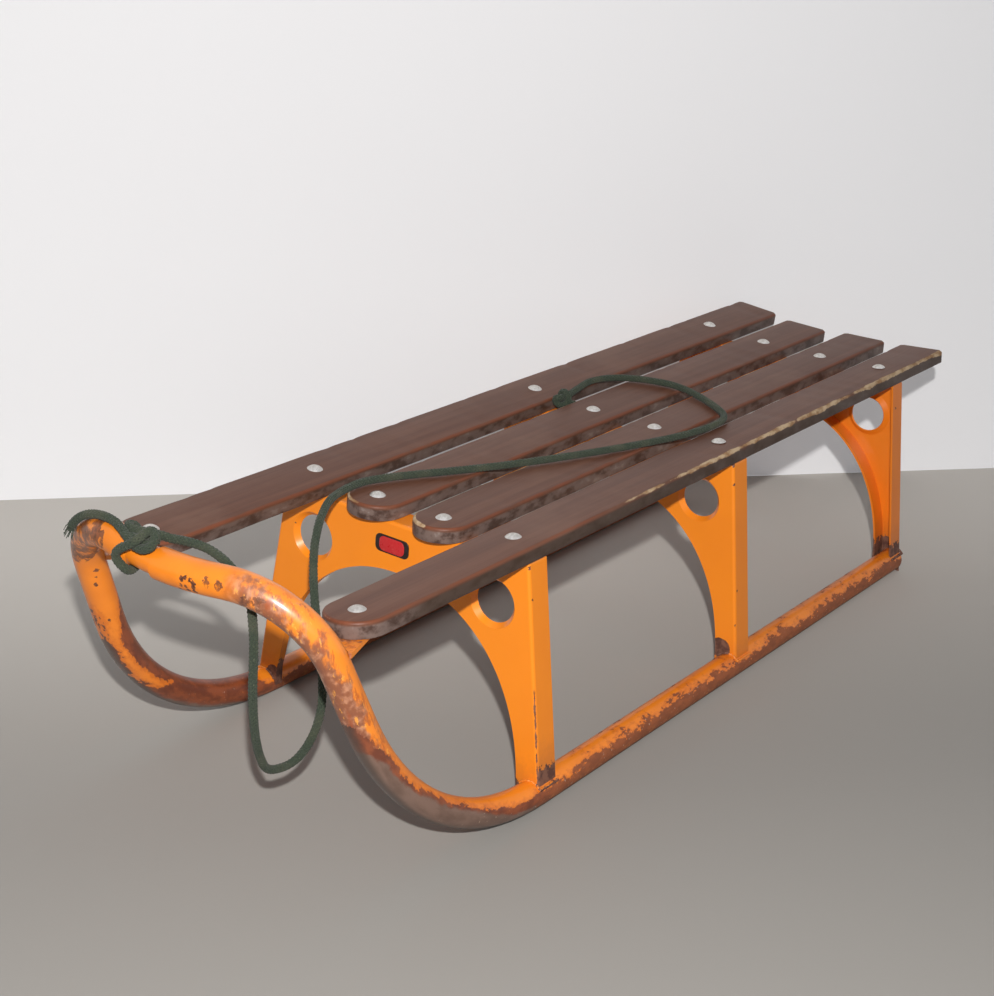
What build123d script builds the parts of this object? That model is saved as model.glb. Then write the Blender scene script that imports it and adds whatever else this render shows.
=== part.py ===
from build123d import *
import os
from math import atan, copysign, cos, pi, radians, sin, sqrt, tan

# A pull sledge of bent steel tube, pressed steel bunks and wooden slats, in millimetres.
# X runs forward to the bent front, Y to the sledge's left and Z up, with the floor at zero.

# Bent tube
tube_diameter = 25.0
tube_wall = 2.0
leg_half_width = 160.0       # to the outside of the legs, at the height of the runner's centre
leg_overhang = 9.5           # of the legs' outside past a runner's centre line
half_track = leg_half_width - leg_overhang
upsweep_start = 254.0
upsweep_radius = 234.0
upsweep_angle = 66.5         # degrees above the floor at which the riser runs
inward_lean = 7.3            # degrees that the upsweep leans towards the middle
riser_length = 60.0
corner_radius = 75.0
crossbar_bow = 12.0          # degrees between the crossbar's ends and a straight bar
bow_dip = 18.0               # degrees that the bow's plane points below level
socket_mouth = -3.5          # Y of the joint where one half of the crossbar enters the other
spigot_length = 30.0
spigot_play = 0.3
shoulder_length = 5.0
shoulder_gap = 26.0          # between the shoulder's narrow end and the socket's mouth

# Bunks: pressed channels that carry the seat
row_front = 252.5            # X of the rivets over each bunk
row_middle = -81.0
row_rear = -431.5
sheet = 2.0
bunk_depth = 25.0
rivet_setback = 10.0         # from the web of the front or the middle bunk to its rivets
rear_rivet_setback = 15.5    # the same on the rear bunk, whose web closes the runners' ends
runner_end_gap = 0.2
runner_rear = row_rear - rear_rivet_setback + sheet + runner_end_gap
leg_lean = 8.0
dish_low = 211.5             # top of a bunk at the middle
dish_radius = 1234.0
top_corner_radius = 4.0
bend_radius = 3.0
arch_side = 24.0             # from a leg's outside to the arch, on the floor
arch_half_width = leg_half_width - arch_side
arch_height = 167.0
arch_fullness = 2.2          # 2 would make the arch half an ellipse, more fills its shoulders
arch_steps = 8               # places fixed on each half of the arch
arch_lip = 8.0
rear_arch_lip = 22.0
hole_radius = 18.5
hole_inset = 62.0
hole_spacing = leg_half_width - hole_inset
hole_height = 172.0
dimple_rim = 22.5
dimple_depth = 5.0
foot_gap = 0.3

# Slats
slat_width = 52.0
slat_thickness = 14.0
outer_slat_inset = 52.0
outer_slat = leg_half_width - outer_slat_inset
inner_slat = outer_slat / 3  # the four slats are evenly spaced
rear_reach = {1: 118.0, 2: 107.0, 3: 116.0, 4: 115.0}  # from the rear rivets to the slats' ends
lug_row = 447.5              # X of the rivets that fix the outer slats to the lugs
nose_reach = 25.5            # from the foremost rivet of a slat to its nose
outer_slat_nose = lug_row + nose_reach
inner_slat_nose = row_front + nose_reach
slat_edge_round = 2.5
rear_corner_cut = 4.0
slat_seat_gap = 0.1

# Rivets
rivet_head = 14.0
rivet_dome = 3.0
rivet_shank = 6.0
rivet_tail = 10.0
rivet_tail_height = 2.5
rivet_play = 0.3

# Lugs that tie the outer slats to the risers
lug_sheet = 4.0
lug_width = 26.0
lug_root_width = 22.0
gusset_reach = 20.0
gusset_drop = 20.0

# Badge on the front bunk
badge_width = 36.0
badge_height = 16.0
badge_sheet = 1.2
badge_corner = 5.0
badge_offset = -9.0
badge_middle = 190.0

# Pull rope
rope_diameter = 7.0
knot_middle = -29.0          # Y of the knot tied round the crossbar
knot_length = 34.0
knot_thickness = 8.0
knot_bar_gap = 1.0
end_knot_radius = 8.5
end_knot_length = 20.0

tube_radius = tube_diameter / 2
rope_radius = rope_diameter / 2
across = Vector(0, 1, 0)
forward = Vector(1, 0, 0)
nodes = {}


def mirrored(point, side):
    """The point itself on the left, side 1, or its mirror image on the right, side -1."""
    return Vector(point.X, point.Y * side, point.Z)


# Centre line of the bent tube
upright = Vector(0, -sin(radians(inward_lean)), cos(radians(inward_lean)))
bow_out = Vector(cos(radians(bow_dip)), 0, -sin(radians(bow_dip)))
upsweep_foot = Vector(upsweep_start, half_track, tube_radius)
upsweep_turn = radians(upsweep_angle)


def upsweep_point(angle):
    along = forward * upsweep_radius * sin(angle)
    return upsweep_foot + along + upright * upsweep_radius * (1 - cos(angle))


riser_way = forward * cos(upsweep_turn) + upright * sin(upsweep_turn)
riser_bottom = upsweep_point(upsweep_turn)
riser_top = riser_bottom + riser_way * riser_length
bow = radians(crossbar_bow)
crossbar_way = bow_out * sin(bow) - across * cos(bow)
corner_turn = radians(riser_way.get_angle(crossbar_way))
corner_inward = (crossbar_way - riser_way * riser_way.dot(crossbar_way)).normalized()


def corner_point(angle):
    inward = corner_inward * corner_radius * (1 - cos(angle))
    return riser_top + riser_way * corner_radius * sin(angle) + inward


corner_end = corner_point(corner_turn)
bow_radius = corner_end.Y / sin(bow)
bow_centre = corner_end - across * corner_end.Y - bow_out * bow_radius * cos(bow)


def crossbar_point(y):
    return bow_centre + bow_out * sqrt(bow_radius ** 2 - y ** 2) + across * y


def crossbar_tangent(y):
    return (across * sqrt(bow_radius ** 2 - y ** 2) - bow_out * y).normalized()


def crossbar_arc(y_from, y_to):
    middle = crossbar_point((y_from + y_to) / 2)
    return ThreePointArc(crossbar_point(y_from), middle, crossbar_point(y_to))


def half_line(side, bar_end):
    """From a runner's rear, up the riser and along the crossbar to Y = bar_end."""
    rear = Vector(runner_rear, half_track, tube_radius)
    route = [rear, upsweep_foot, upsweep_point(upsweep_turn / 2), riser_bottom, riser_top]
    route += [corner_point(corner_turn / 2), corner_end]
    p = [mirrored(point, side) for point in route]
    path = Line(p[0], p[1]) + ThreePointArc(p[1], p[2], p[3]) + Line(p[3], p[4])
    return path + ThreePointArc(p[4], p[5], p[6]) + crossbar_arc(p[6].Y, bar_end)


def bar_along(path, radius):
    """A round bar of the given radius along a path."""
    return sweep(Plane(origin=path @ 0, z_dir=path % 0) * Circle(radius), path=path)


# Left half of the tube, whose crossbar end is the socket
left_line = half_line(1, socket_mouth)
left_bar = bar_along(left_line, tube_radius)
bore_radius = tube_radius - tube_wall
nodes["runner_tube_left"] = left_bar - bar_along(left_line, bore_radius)

# Right half, drawn down to a spigot that enters the socket
shoulder_start = socket_mouth - shoulder_gap - shoulder_length
right_line = half_line(-1, shoulder_start)
right_bar = bar_along(right_line, tube_radius)
right_tube = right_bar - bar_along(right_line, bore_radius)
spigot_radius = bore_radius - spigot_play
spigot_start = shoulder_start + shoulder_length / 2
spigot = bar_along(crossbar_arc(spigot_start, socket_mouth + spigot_length), spigot_radius)
shoulder_plane = Plane(origin=crossbar_point(shoulder_start), z_dir=crossbar_tangent(shoulder_start))
shoulder_tip = spigot_radius - spigot_play
shoulder = Solid.make_cone(tube_radius, shoulder_tip, shoulder_length, shoulder_plane)
nodes["runner_tube_right"] = right_tube + shoulder + spigot


# Seat line: the bunks' tops are dished, so the slats tilt a little towards the middle
def dish(y):
    return dish_low + y ** 2 / (2 * dish_radius)


def seat_frame(y, x=0.0):
    """Place and tilt of a slat's underside over Y = y."""
    tilt = atan(y / dish_radius)
    rise = slat_width ** 2 / (8 * dish_radius) + slat_seat_gap
    return Location((x, y, dish(y) + rise), (tilt * 180 / pi, 0, 0))


def leg_outside(z, inset=0.0):
    lean = radians(leg_lean)
    return leg_half_width - (z - tube_radius) * tan(lean) - inset / cos(lean)


def bunk_outline(inset, bottom):
    """Front face of a bunk without its arch, drawn in smaller by the inset."""
    top_z = dish(leg_half_width) - inset
    top_y = leg_outside(top_z, inset)
    low_y = leg_outside(bottom, inset)
    left, right = Vector(0, top_y, dish(top_y) - inset), Vector(0, -top_y, dish(top_y) - inset)
    top = ThreePointArc(left, Vector(0, 0, dish_low - inset), right)
    low_left, low_right = Vector(0, low_y, bottom), Vector(0, -low_y, bottom)
    sides = [top, Line(right, low_right), Line(low_right, low_left), Line(low_left, left)]
    return make_face(sides)


def arch(inset):
    """The arch's opening, drawn larger by the inset and run on below the floor."""
    power = 2 / arch_fullness
    points = []
    for step in range(1, 2 * arch_steps):
        turn = pi * step / (2 * arch_steps)
        out = copysign(abs(cos(turn)) ** power, cos(turn))
        points.append((0, (arch_half_width + inset) * out, (arch_height + inset) * sin(turn) ** power))
    left, right = (0, arch_half_width + inset, 0), (0, -arch_half_width - inset, 0)
    low_left, low_right = (0, left[1], -tube_radius), (0, right[1], -tube_radius)
    crown = Spline(left, *points, right, tangents=[(0, 0, 1), (0, 0, -1)])
    return make_face(crown + Polyline(right, low_right, low_left, left))


rivet_rows = {"front": row_front, "middle": row_middle, "rear": row_rear}
slat_lines = {1: -outer_slat, 2: -inner_slat, 3: inner_slat, 4: outer_slat}


# Space round each half of the tube that the bunks' feet and the lugs stay out of
def tube_space(side):
    return bar_along(half_line(side, side * corner_end.Y / 2), tube_radius + foot_gap)


tube_spaces = {1: tube_space(1), -1: tube_space(-1)}


def pressed_bunk(lip_depth):
    """A bunk whose web faces forward at X = 0 and whose flanges run back."""
    back = (-1, 0, 0)
    shell = extrude(bunk_outline(0, 0), amount=bunk_depth, dir=back)
    corners = shell.edges().filter_by(Axis.X).group_by(Axis.Z)[-1]
    shell = fillet(corners, top_corner_radius)
    rim = [edge for edge in shell.edges().group_by(Axis.X)[-1] if edge.center().Z > 1]
    shell = fillet(rim, bend_radius)
    hollow = extrude(bunk_outline(sheet, -1), amount=bunk_depth, dir=back)
    inner_corners = hollow.edges().filter_by(Axis.X).group_by(Axis.Z)[-1]
    hollow = fillet(inner_corners, top_corner_radius - sheet)
    pressed = shell - Pos(-sheet, 0, 0) * hollow
    lip = extrude(arch(sheet), amount=lip_depth, dir=back) & shell
    pressed = pressed + lip - extrude(arch(0), amount=bunk_depth, dir=back)
    for side in (1, -1):
        hole = Pos(0, side * hole_spacing, hole_height) * Rot(0, 90, 0)
        pressed -= hole * Cylinder(dimple_rim, 3 * sheet)
        wall = Polyline((dimple_rim + sheet, -sheet), (dimple_rim + sheet / 2, 0), (dimple_rim, 0),
                        (hole_radius, -dimple_depth), (hole_radius + sheet / 2, -dimple_depth - sheet / 2),
                        close=True)
        pressed += hole * revolve(Plane.XZ * make_face(wall), Axis.Z)
    return pressed


def finished_bunk(row, facing, setback, lip_depth):
    """A bunk under one row of rivets, facing forward, 1, or to the rear, -1, cut to its feet."""
    bunk = pressed_bunk(lip_depth)
    clear_from = -sheet if facing < 0 else 2 * bunk_depth
    below_tubes = Box(4 * bunk_depth, 4 * half_track, tube_diameter)
    bunk -= Pos(clear_from - 2 * bunk_depth, 0, 0) * below_tubes
    if facing < 0:
        bunk = mirror(bunk, about=Plane.YZ)
    bunk = Pos(row + facing * setback, 0, 0) * bunk
    for space in tube_spaces.values():
        bunk -= space
    for y in slat_lines.values():
        bunk -= seat_frame(y, row) * Cylinder(rivet_shank / 2 + rivet_play, 4 * rivet_tail)
    return bunk


nodes["bunk_front"] = finished_bunk(row_front, 1, rivet_setback, arch_lip)
nodes["bunk_middle"] = finished_bunk(row_middle, 1, rivet_setback, arch_lip)
nodes["bunk_rear"] = finished_bunk(row_rear, -1, rear_rivet_setback, rear_arch_lip)


# Slats, round at the nose and square at the rear with the corners taken off
def slat(nose, slat_rear, holes):
    half = slat_width / 2
    length = nose - half - slat_rear
    middle = slat_rear + length / 2
    plan = Pos(middle, 0) * Rectangle(length, slat_width)
    plan = chamfer(plan.vertices().group_by(Axis.X)[0], rear_corner_cut)
    plan = plan + Pos(nose - half, 0) * Circle(half)
    board = extrude(plan, amount=slat_thickness)
    board = fillet(board.edges().group_by(Axis.Z)[-1], slat_edge_round)
    for x in holes:
        board -= Pos(x, 0, 0) * Cylinder(rivet_shank / 2 + rivet_play, 4 * slat_thickness)
    return board


for number, y in slat_lines.items():
    is_outer = abs(y) > inner_slat
    holes = list(rivet_rows.values()) + ([lug_row] if is_outer else [])
    nose = outer_slat_nose if is_outer else inner_slat_nose
    nodes[f"slat_{number}"] = seat_frame(y) * slat(nose, row_rear - rear_reach[number], holes)


# Lugs: a tongue under the slat's nose and a gusset below it, both cut to the riser
def lug(side):
    frame = seat_frame(side * outer_slat)
    riser_at = riser_top.X - gusset_drop / 2 / tan(upsweep_turn)
    root_y = side * (riser_top.Y - outer_slat)
    half = lug_width / 2
    root = lug_root_width / 2
    tongue = make_hull(
        [*(Pos(lug_row, 0) * Circle(half)).edges(),
         *Line((riser_at, root_y - root), (riser_at, root_y + root)).edges()])
    tongue = extrude(tongue, amount=-lug_sheet)
    blade = make_face(Polyline((riser_at - gusset_reach, 0), (riser_at, 0),
                               (riser_at, -gusset_drop), close=True))
    blade = extrude(Plane.XZ * blade, amount=lug_sheet / 2, both=True)
    solid = frame * (tongue + Pos(0, root_y, 0) * blade)
    solid -= frame * Pos(lug_row, 0, 0) * Cylinder(rivet_shank / 2 + rivet_play, 4 * rivet_tail)
    solid -= tube_spaces[side]
    return max(solid.solids(), key=lambda piece: piece.volume)


nodes["lug_right"] = lug(-1)
nodes["lug_left"] = lug(1)


# Rivets: a low dome on the slat, a shank through it, and a tail closed under the steel
def rivet(grip):
    dome_radius = (rivet_head ** 2 / 4 + rivet_dome ** 2) / (2 * rivet_dome)
    top = slat_thickness
    under = -grip
    profile = make_face(
        Line((0, top + rivet_dome), (0, under - rivet_tail_height))
        + Line((0, under - rivet_tail_height), (rivet_tail / 2, under - rivet_tail_height))
        + Line((rivet_tail / 2, under - rivet_tail_height), (rivet_tail / 2, under))
        + Line((rivet_tail / 2, under), (rivet_shank / 2, under))
        + Line((rivet_shank / 2, under), (rivet_shank / 2, top))
        + Line((rivet_shank / 2, top), (rivet_head / 2, top))
        + RadiusArc((rivet_head / 2, top), (0, top + rivet_dome), -dome_radius))
    return revolve(Plane.XZ * profile, Axis.Z)


bunk_grip = sheet + slat_width ** 2 / (8 * dish_radius) + 2 * slat_seat_gap
for number, y in slat_lines.items():
    for row_name, row in rivet_rows.items():
        nodes[f"rivet_{number}_{row_name}"] = seat_frame(y, row) * rivet(bunk_grip)
    if abs(y) > inner_slat:
        nodes[f"rivet_{number}_lug"] = seat_frame(y, lug_row) * rivet(lug_sheet)

# Badge: a small blank plate on the front bunk's web
badge_plan = chamfer(Rectangle(badge_width, badge_height).vertices(), badge_corner)
badge_place = Pos(row_front + rivet_setback, badge_offset, badge_middle)
nodes["badge"] = badge_place * extrude(Plane.YZ * badge_plan, amount=badge_sheet)

# Knots: one round the crossbar, one on the rope's free end
bar_frame = Plane(origin=crossbar_point(knot_middle), z_dir=crossbar_tangent(knot_middle))
knot_bore = tube_radius + knot_bar_gap
knot = Cylinder(knot_bore + knot_thickness, knot_length) - Cylinder(knot_bore, knot_length)
nodes["rope_knot"] = bar_frame * knot

# Pull rope, from the knot over the crossbar, down in a loop and along the seat
rope_route = [
    (522.2, -8.2, 273.8),
    (517.5, 8.0, 274.6),
    (514.2, 25.0, 272.3),
    (512.4, 43.0, 264.5),
    (511.5, 61.0, 247.0),
    (513.0, 67.0, 212.0),
    (512.0, 65.0, 173.0),
    (507.0, 63.0, 138.0),
    (491.0, 54.0, 106.0),
    (471.5, 45.5, 80.0),
    (438.5, 48.0, 77.5),
    (423.0, 55.0, 108.0),
    (415.0, 50.0, 138.0),
    (399.0, 29.0, 168.0),
    (382.0, 8.0, 193.0),
    (363.0, -10.0, 215.0),
    (340.0, -25.0, 230.0),
    (312.0, -40.0, 236.0),
    (282.0, -53.0, 232.0),
    (249.0, -58.0, 231.2),
    (215.0, -45.0, 231.0),
    (167.0, -20.0, 230.2),
    (109.0, 9.0, 230.0),
    (47.0, 36.0, 230.8),
    (-13.0, 59.0, 231.3),
    (-67.0, 76.0, 231.8),
    (-113.0, 84.0, 232.6),
    (-147.0, 78.0, 232.2),
    (-170.0, 52.0, 231.2),
    (-190.0, 20.0, 230.2),
    (-203.0, -13.0, 230.2),
    (-193.0, -45.0, 231.0),
    (-173.0, -71.0, 231.4),
    (-143.0, -80.5, 232.2),
    (-117.0, -77.0, 231.0),
    (-92.5, -73.5, 229.4),
]
tail_route = [
    (536.5, -49.6, 277.9),
    (534.8, -58.0, 278.3),
    (533.8, -67.0, 277.8),
    (532.9, -76.0, 276.2),
    (532.2, -84.6, 273.4),
    (531.8, -92.8, 269.1),
    (531.6, -100.2, 262.9),
    (531.4, -103.8, 258.2),
]


def corner_radii(route):
    """The arc at each inner point: 0.45 of the shorter run over the tangent of half the turn."""
    radii = []
    for before, at, after in zip(route, route[1:], route[2:]):
        come, go = Vector(at) - Vector(before), Vector(after) - Vector(at)
        half_turn = radians(come.get_angle(go)) / 2
        radii.append(0.45 * min(come.length, go.length) / tan(half_turn))
    return radii


def rope_solid(name, route):
    radii = corner_radii(route)
    path = FilletPolyline(*route, radius=radii)
    solid = bar_along(path, rope_radius)
    section = pi * rope_radius ** 2
    print(name, "radii", [round(r) for r in radii])
    print(name, "length", round(path.length, 1), "volume", round(solid.volume),
          "section times length", round(section * path.length))
    return solid


nodes["rope"] = rope_solid("rope", rope_route)
nodes["rope_tail"] = rope_solid("rope_tail", tail_route)
rope_end = Vector(rope_route[-1])
end_way = (rope_end - Vector(rope_route[-2])).normalized()
end_knot_middle = rope_end + end_way * (end_knot_length / 2 + slat_seat_gap)
end_knot = fillet(Cylinder(end_knot_radius, end_knot_length).edges(), end_knot_radius / 2)
nodes["rope_end_knot"] = Plane(origin=end_knot_middle, z_dir=end_way) * end_knot

os.makedirs("parts", exist_ok=True)
for name, shape in nodes.items():
    solids = shape.solids()
    export_step(solids[0] if len(solids) == 1 else Compound(solids), f"parts/{name}.step")
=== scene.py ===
import random
from math import atan, ceil, cos, pi, radians, sin, sqrt, tan

import bmesh
import bpy
from mathutils import Matrix, Vector, noise


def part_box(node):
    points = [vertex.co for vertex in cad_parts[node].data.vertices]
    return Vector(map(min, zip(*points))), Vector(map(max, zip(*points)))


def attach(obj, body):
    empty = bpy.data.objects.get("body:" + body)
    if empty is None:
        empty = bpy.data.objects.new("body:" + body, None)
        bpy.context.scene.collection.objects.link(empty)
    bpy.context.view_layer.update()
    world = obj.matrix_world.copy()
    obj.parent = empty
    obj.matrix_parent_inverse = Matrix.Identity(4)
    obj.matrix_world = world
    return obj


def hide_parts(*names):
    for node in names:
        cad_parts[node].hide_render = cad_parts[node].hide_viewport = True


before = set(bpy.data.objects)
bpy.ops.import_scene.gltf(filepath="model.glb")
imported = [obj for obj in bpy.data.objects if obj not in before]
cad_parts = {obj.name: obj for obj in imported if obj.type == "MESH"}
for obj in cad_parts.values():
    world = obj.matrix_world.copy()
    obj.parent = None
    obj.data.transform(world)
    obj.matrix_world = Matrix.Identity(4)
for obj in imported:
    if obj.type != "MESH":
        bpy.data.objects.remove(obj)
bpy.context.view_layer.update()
mm = 0.001

# The camera stands in front of the sledge on its left, a little over knee height, with a longish
# lens, turned a few degrees about its own axis as a camera held in the hand is.
photo_long_side = 996
focal_pixels = 1851.7
camera_place = Vector((1.4008, 0.8848, 0.8026))
camera_yaw, camera_pitch, camera_roll = -2.535, -0.371, 0.074
looking = Vector((cos(camera_pitch) * cos(camera_yaw), cos(camera_pitch) * sin(camera_yaw),
                  sin(camera_pitch)))
level_right = looking.cross(Vector((0, 0, 1))).normalized()
level_up = level_right.cross(looking)
camera_right = level_right * cos(camera_roll) + level_up * sin(camera_roll)
camera_up = level_up * cos(camera_roll) - level_right * sin(camera_roll)
camera_lens = bpy.data.cameras.new("camera")
camera_lens.sensor_width = 36
camera_lens.lens = focal_pixels * camera_lens.sensor_width / photo_long_side
camera = bpy.data.objects.new("camera", camera_lens)
camera.matrix_world = Matrix.Translation(camera_place) @ Matrix(
    (camera_right, camera_up, -looking)).transposed().to_4x4()
bpy.context.scene.collection.objects.link(camera)
bpy.context.scene.camera = camera

# The pull rope is a plaited cord, limp from use. Six strands wind each way round a core and pass
# over and under each other. It is tied to the crossbar and ends in a knot.
strand_radius = 1.0 * mm
strand_ring = 2.45 * mm      # from the cord's middle to the middle of its strands
strand_weave = 0.3 * mm     # how far a strand swings out over the next one and in under it
core_radius = 2.4 * mm
plait_turn = 21.0 * mm       # the length in which a strand winds once round the cord
strands_each_way = 6
rope_route = [
    (0.5222, -0.0082, 0.2738),
    (0.5175, 0.0080, 0.2746),
    (0.5142, 0.0250, 0.2723),
    (0.5124, 0.0430, 0.2645),
    (0.5115, 0.0610, 0.2470),
    (0.5130, 0.0670, 0.2120),
    (0.5120, 0.0650, 0.1730),
    (0.5070, 0.0630, 0.1380),
    (0.4910, 0.0540, 0.1060),
    (0.4715, 0.0455, 0.0800),
    (0.4385, 0.0480, 0.0775),
    (0.4230, 0.0550, 0.1080),
    (0.4150, 0.0500, 0.1380),
    (0.3990, 0.0290, 0.1680),
    (0.3820, 0.0080, 0.1930),
    (0.3630, -0.0100, 0.2150),
    (0.3400, -0.0250, 0.2300),
    (0.3120, -0.0400, 0.2360),
    (0.2820, -0.0530, 0.2320),
    (0.2490, -0.0580, 0.2312),
    (0.2150, -0.0450, 0.2310),
    (0.1670, -0.0200, 0.2302),
    (0.1090, 0.0090, 0.2300),
    (0.0470, 0.0360, 0.2308),
    (-0.0130, 0.0590, 0.2313),
    (-0.0670, 0.0760, 0.2318),
    (-0.1130, 0.0840, 0.2326),
    (-0.1470, 0.0780, 0.2322),
    (-0.1700, 0.0520, 0.2312),
    (-0.1900, 0.0200, 0.2302),
    (-0.2030, -0.0130, 0.2302),
    (-0.1930, -0.0450, 0.2310),
    (-0.1730, -0.0710, 0.2314),
    (-0.1430, -0.0805, 0.2322),
    (-0.1170, -0.0770, 0.2310),
    (-0.0925, -0.0735, 0.2294),
]
tail_route = [
    (0.5365, -0.0496, 0.2779),
    (0.5348, -0.0580, 0.2783),
    (0.5338, -0.0670, 0.2778),
    (0.5329, -0.0760, 0.2762),
    (0.5322, -0.0846, 0.2734),
    (0.5318, -0.0928, 0.2691),
    (0.5316, -0.1002, 0.2629),
    (0.5314, -0.1038, 0.2582),
]


def line_along(route):
    """The points of the smooth line that a cord takes through its route."""
    curve = bpy.data.curves.new("route", "CURVE")
    curve.dimensions = "3D"
    curve.resolution_u = 24
    spline = curve.splines.new("NURBS")
    spline.points.add(len(route) - 1)
    for point, place in zip(spline.points, route):
        point.co = (*place, 1)
    spline.order_u = 3
    spline.use_endpoint_u = True
    holder = bpy.data.objects.new("route", curve)
    mesh = bpy.data.meshes.new_from_object(holder)
    line = [vertex.co.copy() for vertex in mesh.vertices]
    bpy.data.objects.remove(holder)
    bpy.data.curves.remove(curve)
    bpy.data.meshes.remove(mesh)
    return line


def length_of(line):
    return sum((b - a).length for a, b in zip(line, line[1:]))


def evened(line, step):
    """The same line with its points evenly spaced, about a step apart."""
    count = max(2, ceil(length_of(line) / step))
    gap = length_of(line) / count
    even, walked, due = [line[0].copy()], 0.0, gap
    for a, b in zip(line, line[1:]):
        run = (b - a).length
        while run > 0 and walked + run >= due - 1e-9 and len(even) < count:
            even.append(a.lerp(b, (due - walked) / run))
            due += gap
        walked += run
    return even + [line[-1].copy()]


def sides_along(line):
    """At each point, two directions square to the line, which twist as little as they can."""
    sides = []
    across = None
    for i, point in enumerate(line):
        way = (line[min(i + 1, len(line) - 1)] - line[max(i - 1, 0)]).normalized()
        if across is None:
            across = way.orthogonal()
        across = (across - way * across.dot(way)).normalized()
        sides.append((across.copy(), way.cross(across)))
    return sides


def add_strand(curve, points, radius):
    spline = curve.splines.new("POLY")
    spline.points.add(len(points) - 1)
    for point, place in zip(spline.points, points):
        point.co = (*place, 1)
        point.radius = radius / curve.bevel_depth


def mesh_piece(name, mesh, body="root"):
    """A mesh as a piece of the sledge that rides on its frame."""
    piece = bpy.data.objects.new(name, mesh)
    bpy.context.scene.collection.objects.link(piece)
    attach(piece, body)
    return piece


def mesh_of(curve):
    holder = bpy.data.objects.new("strands", curve)
    mesh = bpy.data.meshes.new_from_object(holder)
    bpy.data.objects.remove(holder)
    bpy.data.curves.remove(curve)
    mesh.shade_smooth()
    return mesh


def plaited_cord(name, *lines):
    """A core and two crossing sets of strands along each line."""
    curve = bpy.data.curves.new(name, "CURVE")
    curve.dimensions = "3D"
    curve.bevel_depth = strand_radius
    curve.bevel_resolution = 0
    curve.use_fill_caps = True
    crossing = plait_turn / (2 * strands_each_way)
    for line in lines:
        fine = evened(line, crossing / 2)
        sides = sides_along(fine)
        step = length_of(fine) / (len(fine) - 1)
        add_strand(curve, fine[::3] + [fine[-1]], core_radius)
        for hand in (1, -1):
            for strand in range(strands_each_way):
                points = []
                for i, (middle, (across, up)) in enumerate(zip(fine, sides)):
                    turn = hand * 2 * pi * i * step / plait_turn + 2 * pi * strand / strands_each_way
                    ring = strand_ring + hand * strand_weave * cos(pi * i * step / crossing)
                    points.append(middle + (across * cos(turn) + up * sin(turn)) * ring)
                add_strand(curve, points, strand_radius)
    return mesh_piece(name, mesh_of(curve))


rope_line = line_along(rope_route)
tail_line = line_along(tail_route)
pull_rope = plaited_cord("pull_rope", rope_line)
rope_tail = plaited_cord("pull_rope_tail", tail_line)

# The knot on the crossbar: the cord runs along the top of the bar, round it, up across its own
# tail, into a loop over the standing part and back under itself to the tail.
bar_middle = Vector((537.0, 0, 260.3)) * mm
bow_radius = 259.3 * mm
bow_dip = radians(18)
bow_out = Vector((cos(bow_dip), 0, -sin(bow_dip)))


def bar_point(y):
    return bar_middle - bow_out * (bow_radius - sqrt(bow_radius ** 2 - y ** 2)) + Vector((0, y, 0))


def round_an_axis(middle, axis, along, angle, reach):
    """A place round an axis: along it, turned from the top towards the front, and out from it."""
    top = (Vector((0, 0, 1)) - axis * axis.z).normalized()
    front = axis.cross(top)
    turn = radians(angle)
    return middle + axis * along * mm + (top * cos(turn) + front * sin(turn)) * reach * mm


def about_the_bar(y, angle, reach):
    """A place over Y = y in millimetres, turned round the bar from its top, out from its middle."""
    y *= mm
    way = (bar_point(y + mm) - bar_point(y - mm)).normalized()
    return round_an_axis(bar_point(y), way, 0, angle, reach)


hitch = [
    (-8.2, -48, 20), (-15, -24, 18.6), (-23, -8, 17.6), (-31, 2, 17), (-39, 4, 16.6),
    (-45.5, -14, 16.2), (-47, -50, 16.2), (-45, -92, 16.2), (-40, -132, 15.9), (-34, -170, 15.2),
    (-29.5, -205, 15), (-27.5, -228, 15.2), (-29, -244, 15.6), (-32, -256, 16), (-33, -270, 16.6),
    (-30, -288, 18.2), (-23, -302, 21.3), (-15.5, -314, 23.3), (-12, -328, 24),
    (-12.5, -346, 23.8), (-11.5, -358, 23.4), (-7, -354, 21.8), (-3.5, -340, 19.5), (-4, -324, 18),
    (-9, -315, 17), (-15, -314, 17), (-22, -320, 17), (-30, -328, 17.3), (-39.5, -338, 17.6),
    (-49.6, -346, 16.6),
]
# Turns that lie on the bar under the loops
inner_turns = [
    [(-29, 27, 16), (-22, 20, 15.9), (-15, 22, 15.9), (-9, 28, 15.9), (-4, 30, 16.2)],
    [(-31, 0, 16), (-23, -3, 16.4), (-14, -2, 16.6), (-6, 5, 16.6)],
]
knot_lines = [line_along([about_the_bar(*place) for place in turn]) for turn in [hitch] + inner_turns]
crossbar_knot = plaited_cord("crossbar_knot", *knot_lines)
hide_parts("rope_knot")

# The knot at the rope's free end is an overhand knot pulled tight, with a short frayed end.
knot_way = (rope_line[-1] - rope_line[-3]).normalized()
end_knot_middle = rope_line[-1] + knot_way * 9.5 * mm
overhand = [
    (-9.6, 0, 0.3), (-4.0, 0, 0.6), (2.0, 20, 0.8), (7.0, 30, 2.6), (9.0, 70, 5.6),
    (8.4, 120, 6.4), (6.6, 175, 6.5), (4.2, 235, 6.5), (1.8, 295, 6.5), (-0.6, 355, 6.6),
    (-3.2, 415, 6.6), (-5.6, 470, 6.2), (-7.0, 520, 6.4), (-7.6, 560, 8.6), (-7.2, 590, 11.4),
]
overhand_line = line_along([round_an_axis(end_knot_middle, knot_way, *place) for place in overhand])
end_knot = plaited_cord("rope_end_knot_tied", overhand_line)
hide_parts("rope_end_knot")

# Both cut ends of the cord have frayed into loose yarn. The tail's fray is the longer one, and the
# other sticks out of the end knot.
yarn_radius = 0.28 * mm


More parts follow.
